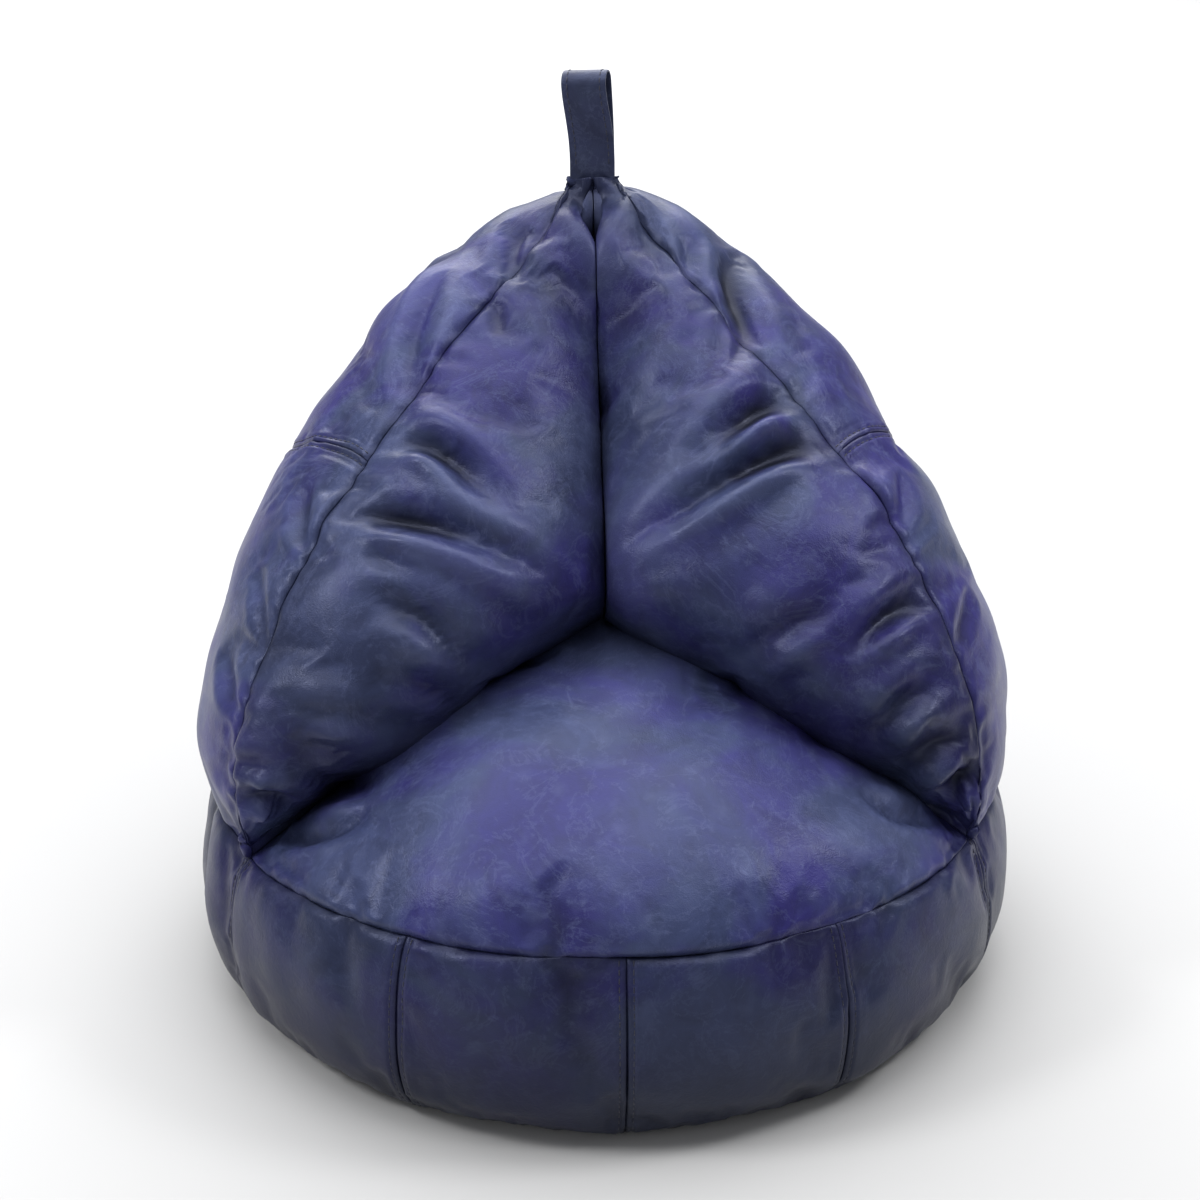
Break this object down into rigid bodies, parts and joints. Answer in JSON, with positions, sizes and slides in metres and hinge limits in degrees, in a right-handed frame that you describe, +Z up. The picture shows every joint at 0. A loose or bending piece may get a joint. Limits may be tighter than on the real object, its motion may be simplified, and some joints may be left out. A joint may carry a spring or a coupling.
{
  "type": "bean bag chair",
  "caption": "Teardrop lounge bean bag with a scooped seat, panelled bolsters and back, upright side band, top carry loop and zips.",
  "frame": {"origin": "centre of the base panel, on the floor", "axes": "+Z up; -Y toward the front of the seat; +X toward the sitter's left, which is on the right when seen from the front"},
  "size_m": [0.8262, 0.825, 0.8518],
  "materials": {
    "cover_leather": "waxed satin, mottled between violet-blue and slate-blue",
    "handle_leather": "waxed satin",
    "base_fabric": "matt woven base cloth",
    "thread": "twisted thread",
    "zip_tape": "woven tape",
    "zip_coil": "moulded coil",
    "zip_metal": "satin nickel",
    "liner_fabric": "thin woven liner",
    "liner_zip": "woven tape and coil",
    "liner_metal": "satin nickel",
    "beads": "expanded beads"
  },
  "bodies": {
    "bag": {"base_panel": "base_fabric", "band_panel_1": "cover_leather", "band_panel_2": "cover_leather", "band_panel_3": "cover_leather", "band_panel_4": "cover_leather", "band_panel_5": "cover_leather", "band_panel_6": "cover_leather", "band_panel_7": "cover_leather", "band_panel_8": "cover_leather", "band_panel_9": "cover_leather", "band_panel_10": "cover_leather", "band_panel_11": "cover_leather", "band_panel_12": "cover_leather", "seat_panel": "cover_leather", "bolster_panel_left": "cover_leather", "bolster_panel_right": "cover_leather", "lower_back_panel_left": "cover_leather", "lower_back_panel_right": "cover_leather", "upper_back_panel_left": "cover_leather", "upper_back_panel_right": "cover_leather", "band_topstitching": "thread", "back_topstitching": "thread", "zip_tape_upper": "zip_tape", "zip_tape_lower": "zip_tape", "zip_coil_upper": "zip_coil", "zip_coil_lower": "zip_coil", "zip_end_stops": "zip_metal", "handle_anchor": "zip_tape", "liner_body": "liner_fabric", "liner_base_front": "liner_fabric", "liner_base_rear": "liner_fabric", "liner_zip_tapes": "liner_zip", "liner_zip_coils": "liner_zip", "bead_fill": "beads"},
    "slider": {"zip_slider": "zip_metal"},
    "pull": {"zip_pull": "zip_metal"},
    "handle": {"handle_strap": "handle_leather", "handle_stitching": "thread"},
    "liner_slider": {"liner_zip_slider": "liner_metal"}
  },
  "joints": [
    {"name": "zip_travel", "type": "hinge", "parent": "bag", "child": "slider", "pos_m": [0, 0, 0.186], "axis": [0, 0, 1], "range_deg": [-90.67, 0]},
    {"name": "pull_swing", "type": "hinge", "parent": "slider", "child": "pull", "pos_m": [-0.28555, 0.28225, 0.186], "axis": [0, 0, 1], "range_deg": [0, 150]},
    {"name": "handle_fold", "type": "hinge", "parent": "bag", "child": "handle", "pos_m": [0, 0.205, 0.744], "axis": [1, 0, 0], "range_deg": [-70, 35], "stiffness_Nm_per_rad": 0.06},
    {"name": "liner_zip_travel", "type": "slide", "parent": "bag", "child": "liner_slider", "axis": [1, 0, 0], "range_m": [0, 0.28]}
  ]
}
